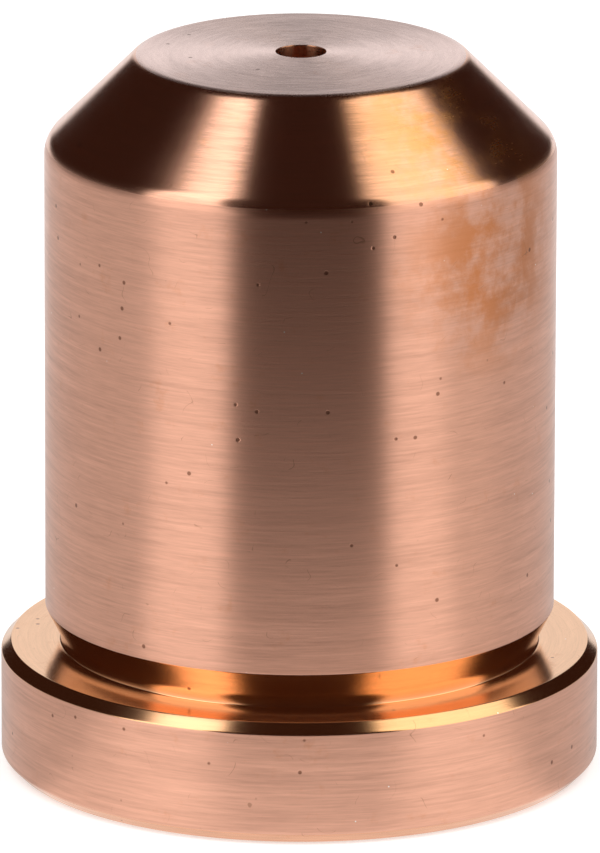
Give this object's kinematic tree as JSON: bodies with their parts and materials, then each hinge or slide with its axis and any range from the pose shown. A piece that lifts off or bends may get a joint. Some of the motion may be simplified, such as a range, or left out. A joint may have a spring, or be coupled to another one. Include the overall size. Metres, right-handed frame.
{
  "type": "plasma torch nozzle",
  "caption": "Turned copper plasma torch nozzle: flange, cylindrical body, coned tip with a central orifice, and a stepped hollow with a converging nose inside.",
  "frame": {"origin": "centre of the flange's seating face", "axes": "+Z along the nozzle's axis, from the seating face to the tip; X and Y are free, because it is round"},
  "size_m": [0.0178, 0.0178, 0.0218],
  "materials": {
    "copper": "bare copper, fine turned, polished cone and relief, lightly tarnished"
  },
  "bodies": {
    "root": {"nozzle": "copper"}
  },
  "joints": []
}
